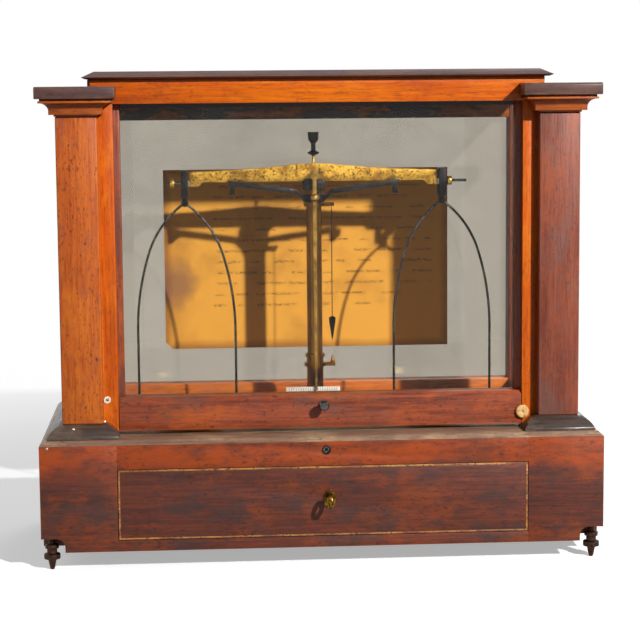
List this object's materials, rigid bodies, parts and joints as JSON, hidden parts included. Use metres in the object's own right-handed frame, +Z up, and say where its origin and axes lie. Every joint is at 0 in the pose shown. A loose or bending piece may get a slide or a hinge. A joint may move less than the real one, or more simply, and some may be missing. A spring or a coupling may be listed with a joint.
{
  "type": "cased analytical balance",
  "caption": "Brass beam balance with hanging pans on a central pillar, in a glazed mahogany case with a rising front sash and a drawer in its base.",
  "frame": {"origin": "on the table under the middle of the whole outline, key included", "axes": "+X to the right seen from the front, -Y towards the front, +Z up"},
  "size_m": [0.38, 0.189, 0.3323],
  "materials": {
    "mahogany": "french polish, worn",
    "mahogany_orange": "french polish",
    "mahogany_dark": "french polish, darkened",
    "moulding": "french polish, dusty",
    "pine": "bare",
    "boxwood": "polished",
    "glass": "clear",
    "card": "varnished card",
    "bone": "polished",
    "ebony": "polished",
    "brass": "lacquered, tarnished",
    "steel": "darkened",
    "iron": "worn"
  },
  "bodies": {
    "case": {"base_front": "mahogany", "base_sides": "mahogany", "base_back": "mahogany", "case_floor": "mahogany", "pilaster_left": "mahogany", "pilaster_right": "mahogany", "side_frame_left": "mahogany", "side_frame_right": "mahogany", "frieze": "mahogany_orange", "guide_strips": "mahogany_orange", "back_rails": "mahogany_orange", "cap_plates": "mahogany_dark", "top_board": "mahogany_dark", "plinth_left": "moulding", "plinth_right": "moulding", "capitals": "moulding", "base_bottom": "pine", "drawer_guides": "pine", "sash_button": "boxwood", "side_glasses": "glass", "back_glass": "glass", "instruction_card": "card", "strip_ring": "bone", "ivory_scale": "bone", "spindle_bush": "brass", "foot_bushes": "brass", "rear_foot": "brass", "pillar_base": "brass", "pillar": "brass", "plumb_brackets": "brass", "pillar_head": "steel"},
    "sash": {"sash_frame": "mahogany", "sash_bottom_rail": "mahogany", "sash_glass": "glass", "sash_knob": "ebony"},
    "drawer": {"drawer_front": "mahogany", "drawer_walls": "pine", "drawer_bottom": "pine", "drawer_bead": "boxwood", "drawer_lock": "brass", "escutcheon": "brass"},
    "key": {"drawer_key": "iron"},
    "beam": {"beam": "brass", "knife_edges": "steel", "pointer": "brass"},
    "gravity_bob": {"gravity_bob": "steel"},
    "nut_left": {"adjusting_nut_left": "brass"},
    "nut_right": {"adjusting_nut_right": "brass"},
    "stirrup_left": {"stirrup_left": "steel"},
    "stirrup_right": {"stirrup_right": "steel"},
    "bow_left": {"bow_left": "steel", "pan_left": "brass"},
    "bow_right": {"bow_right": "steel", "pan_right": "brass"},
    "arrestment": {"arrestment_arms": "steel", "arrestment_rod": "brass"},
    "spindle": {"arrestment_spindle": "steel"},
    "screw_left": {"levelling_screw_left": "brass"},
    "screw_right": {"levelling_screw_right": "brass"},
    "plumb_bob": {"plumb_bob": "brass"}
  },
  "joints": [
    {"name": "sash_slide", "type": "slide", "parent": "case", "child": "sash", "axis": [0, 0, 1], "range_m": [0, 0.16]},
    {"name": "drawer_slide", "type": "slide", "parent": "case", "child": "drawer", "axis": [0, -1, 0], "range_m": [0, 0.12]},
    {"name": "key_turn", "type": "hinge", "parent": "drawer", "child": "key", "pos_m": [0.0034, -0.0775, 0.0468], "axis": [0, 1, 0], "range_deg": [0, 180]},
    {"name": "beam_swing", "type": "hinge", "parent": "case", "child": "beam", "pos_m": [0, 0.0125, 0.2571], "axis": [0, 1, 0], "range_deg": [-1.5, 1.5]},
    {"name": "gravity_bob_turn", "type": "hinge", "parent": "beam", "child": "gravity_bob", "pos_m": [0, 0.0125, 0.281], "axis": [0, 0, 1], "continuous": true},
    {"name": "nut_left_turn", "type": "hinge", "parent": "beam", "child": "nut_left", "pos_m": [-0.0997, 0.0125, 0.2546], "axis": [1, 0, 0], "continuous": true},
    {"name": "nut_right_turn", "type": "hinge", "parent": "beam", "child": "nut_right", "pos_m": [0.0966, 0.0125, 0.2546], "axis": [1, 0, 0], "continuous": true},
    {"name": "stirrup_left_swing", "type": "hinge", "parent": "beam", "child": "stirrup_left", "pos_m": [-0.091, 0.0125, 0.257], "axis": [0, 1, 0], "range_deg": [-2, 2]},
    {"name": "bow_left_swing", "type": "hinge", "parent": "stirrup_left", "child": "bow_left", "pos_m": [-0.091, 0.0125, 0.2405], "axis": [0, 1, 0], "range_deg": [-4, 4]},
    {"name": "screw_left_turn", "type": "hinge", "parent": "case", "child": "screw_left", "pos_m": [-0.1835, -0.0685, 0.03], "axis": [0, 0, 1], "continuous": true},
    {"name": "stirrup_right_swing", "type": "hinge", "parent": "beam", "child": "stirrup_right", "pos_m": [0.091, 0.0125, 0.257], "axis": [0, 1, 0], "range_deg": [-2, 2]},
    {"name": "bow_right_swing", "type": "hinge", "parent": "stirrup_right", "child": "bow_right", "pos_m": [0.091, 0.0125, 0.2405], "axis": [0, 1, 0], "range_deg": [-4, 4]},
    {"name": "screw_right_turn", "type": "hinge", "parent": "case", "child": "screw_right", "pos_m": [0.1835, -0.0685, 0.03], "axis": [0, 0, 1], "continuous": true},
    {"name": "arrestment_lift", "type": "slide", "parent": "case", "child": "arrestment", "axis": [0, 0, 1], "range_m": [0, 0.0025]},
    {"name": "spindle_turn", "type": "hinge", "parent": "case", "child": "spindle", "pos_m": [0.0016, -0.0775, 0.0793], "axis": [0, 1, 0], "range_deg": [0, 180]},
    {"name": "plumb_swing", "type": "hinge", "parent": "case", "child": "plumb_bob", "pos_m": [0.0125, 0.0125, 0.2371], "axis": [0, 1, 0], "range_deg": [-2.5, 2.5]}
  ],
  "couplings": [
    {"joint": "spindle_turn", "follows": "arrestment_lift", "rad_per_m": 1256.6}
  ]
}
